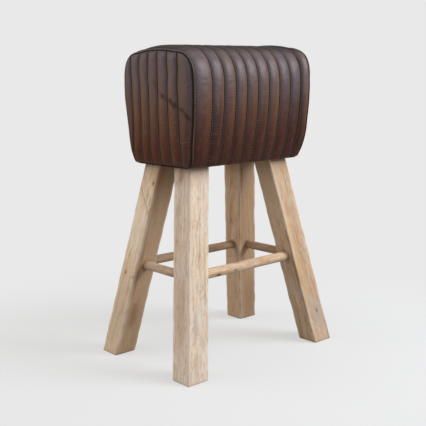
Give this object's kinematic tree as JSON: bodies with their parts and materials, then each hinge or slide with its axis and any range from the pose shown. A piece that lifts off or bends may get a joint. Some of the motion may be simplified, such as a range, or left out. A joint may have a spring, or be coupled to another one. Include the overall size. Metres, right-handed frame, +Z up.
{
  "type": "stool",
  "caption": "Upright block stool: a seat of sewn leather channels with piped end panels, on splayed square wooden legs joined by round stretchers.",
  "frame": {"origin": "on the floor, under the middle of the seat", "axes": "+Z up, X along the seat's length, -Y towards the front long side"},
  "size_m": [0.496, 0.3414, 0.7676],
  "materials": {
    "leather": "waxed brown leather with a soft sheen",
    "piping_leather": "worn brown leather",
    "leg_wood": "sanded and lime washed mango wood",
    "bar_wood": "sanded mango wood",
    "box_board": "bare plywood",
    "dowel_wood": "bare hardwood",
    "foam": "open cell foam",
    "steel": "zinc plated",
    "cover_cloth": "black dust cover cloth"
  },
  "bodies": {
    "root": {"band_channel_01": "leather", "band_channel_02": "leather", "band_channel_03": "leather", "band_channel_04": "leather", "band_channel_05": "leather", "band_channel_06": "leather", "band_channel_07": "leather", "band_channel_08": "leather", "band_channel_09": "leather", "band_channel_10": "leather", "base_board": "box_board", "base_screws": "steel", "dust_cover": "cover_cloth", "end_board_left": "box_board", "end_board_right": "box_board", "foam_back": "foam", "foam_front": "foam", "foam_left": "foam", "foam_right": "foam", "foam_top": "foam", "glue_blocks": "box_board", "left_channel_1": "leather", "left_channel_2": "leather", "left_channel_3": "leather", "left_channel_4": "leather", "left_channel_5": "leather", "left_channel_6": "leather", "left_channel_7": "leather", "leg_back_left": "leg_wood", "leg_back_right": "leg_wood", "leg_bolts": "steel", "leg_dowels": "dowel_wood", "leg_front_left": "leg_wood", "leg_front_right": "leg_wood", "leg_nuts": "steel", "leg_washers": "steel", "piping_left": "piping_leather", "piping_right": "piping_leather", "right_channel_1": "leather", "right_channel_2": "leather", "right_channel_3": "leather", "right_channel_4": "leather", "right_channel_5": "leather", "right_channel_6": "leather", "right_channel_7": "leather", "side_board_back": "box_board", "side_board_front": "box_board", "staples": "steel", "stretcher_back": "bar_wood", "stretcher_front": "bar_wood", "stretcher_left": "bar_wood", "stretcher_right": "bar_wood", "top_board": "box_board", "top_screws": "steel"}
  },
  "joints": []
}
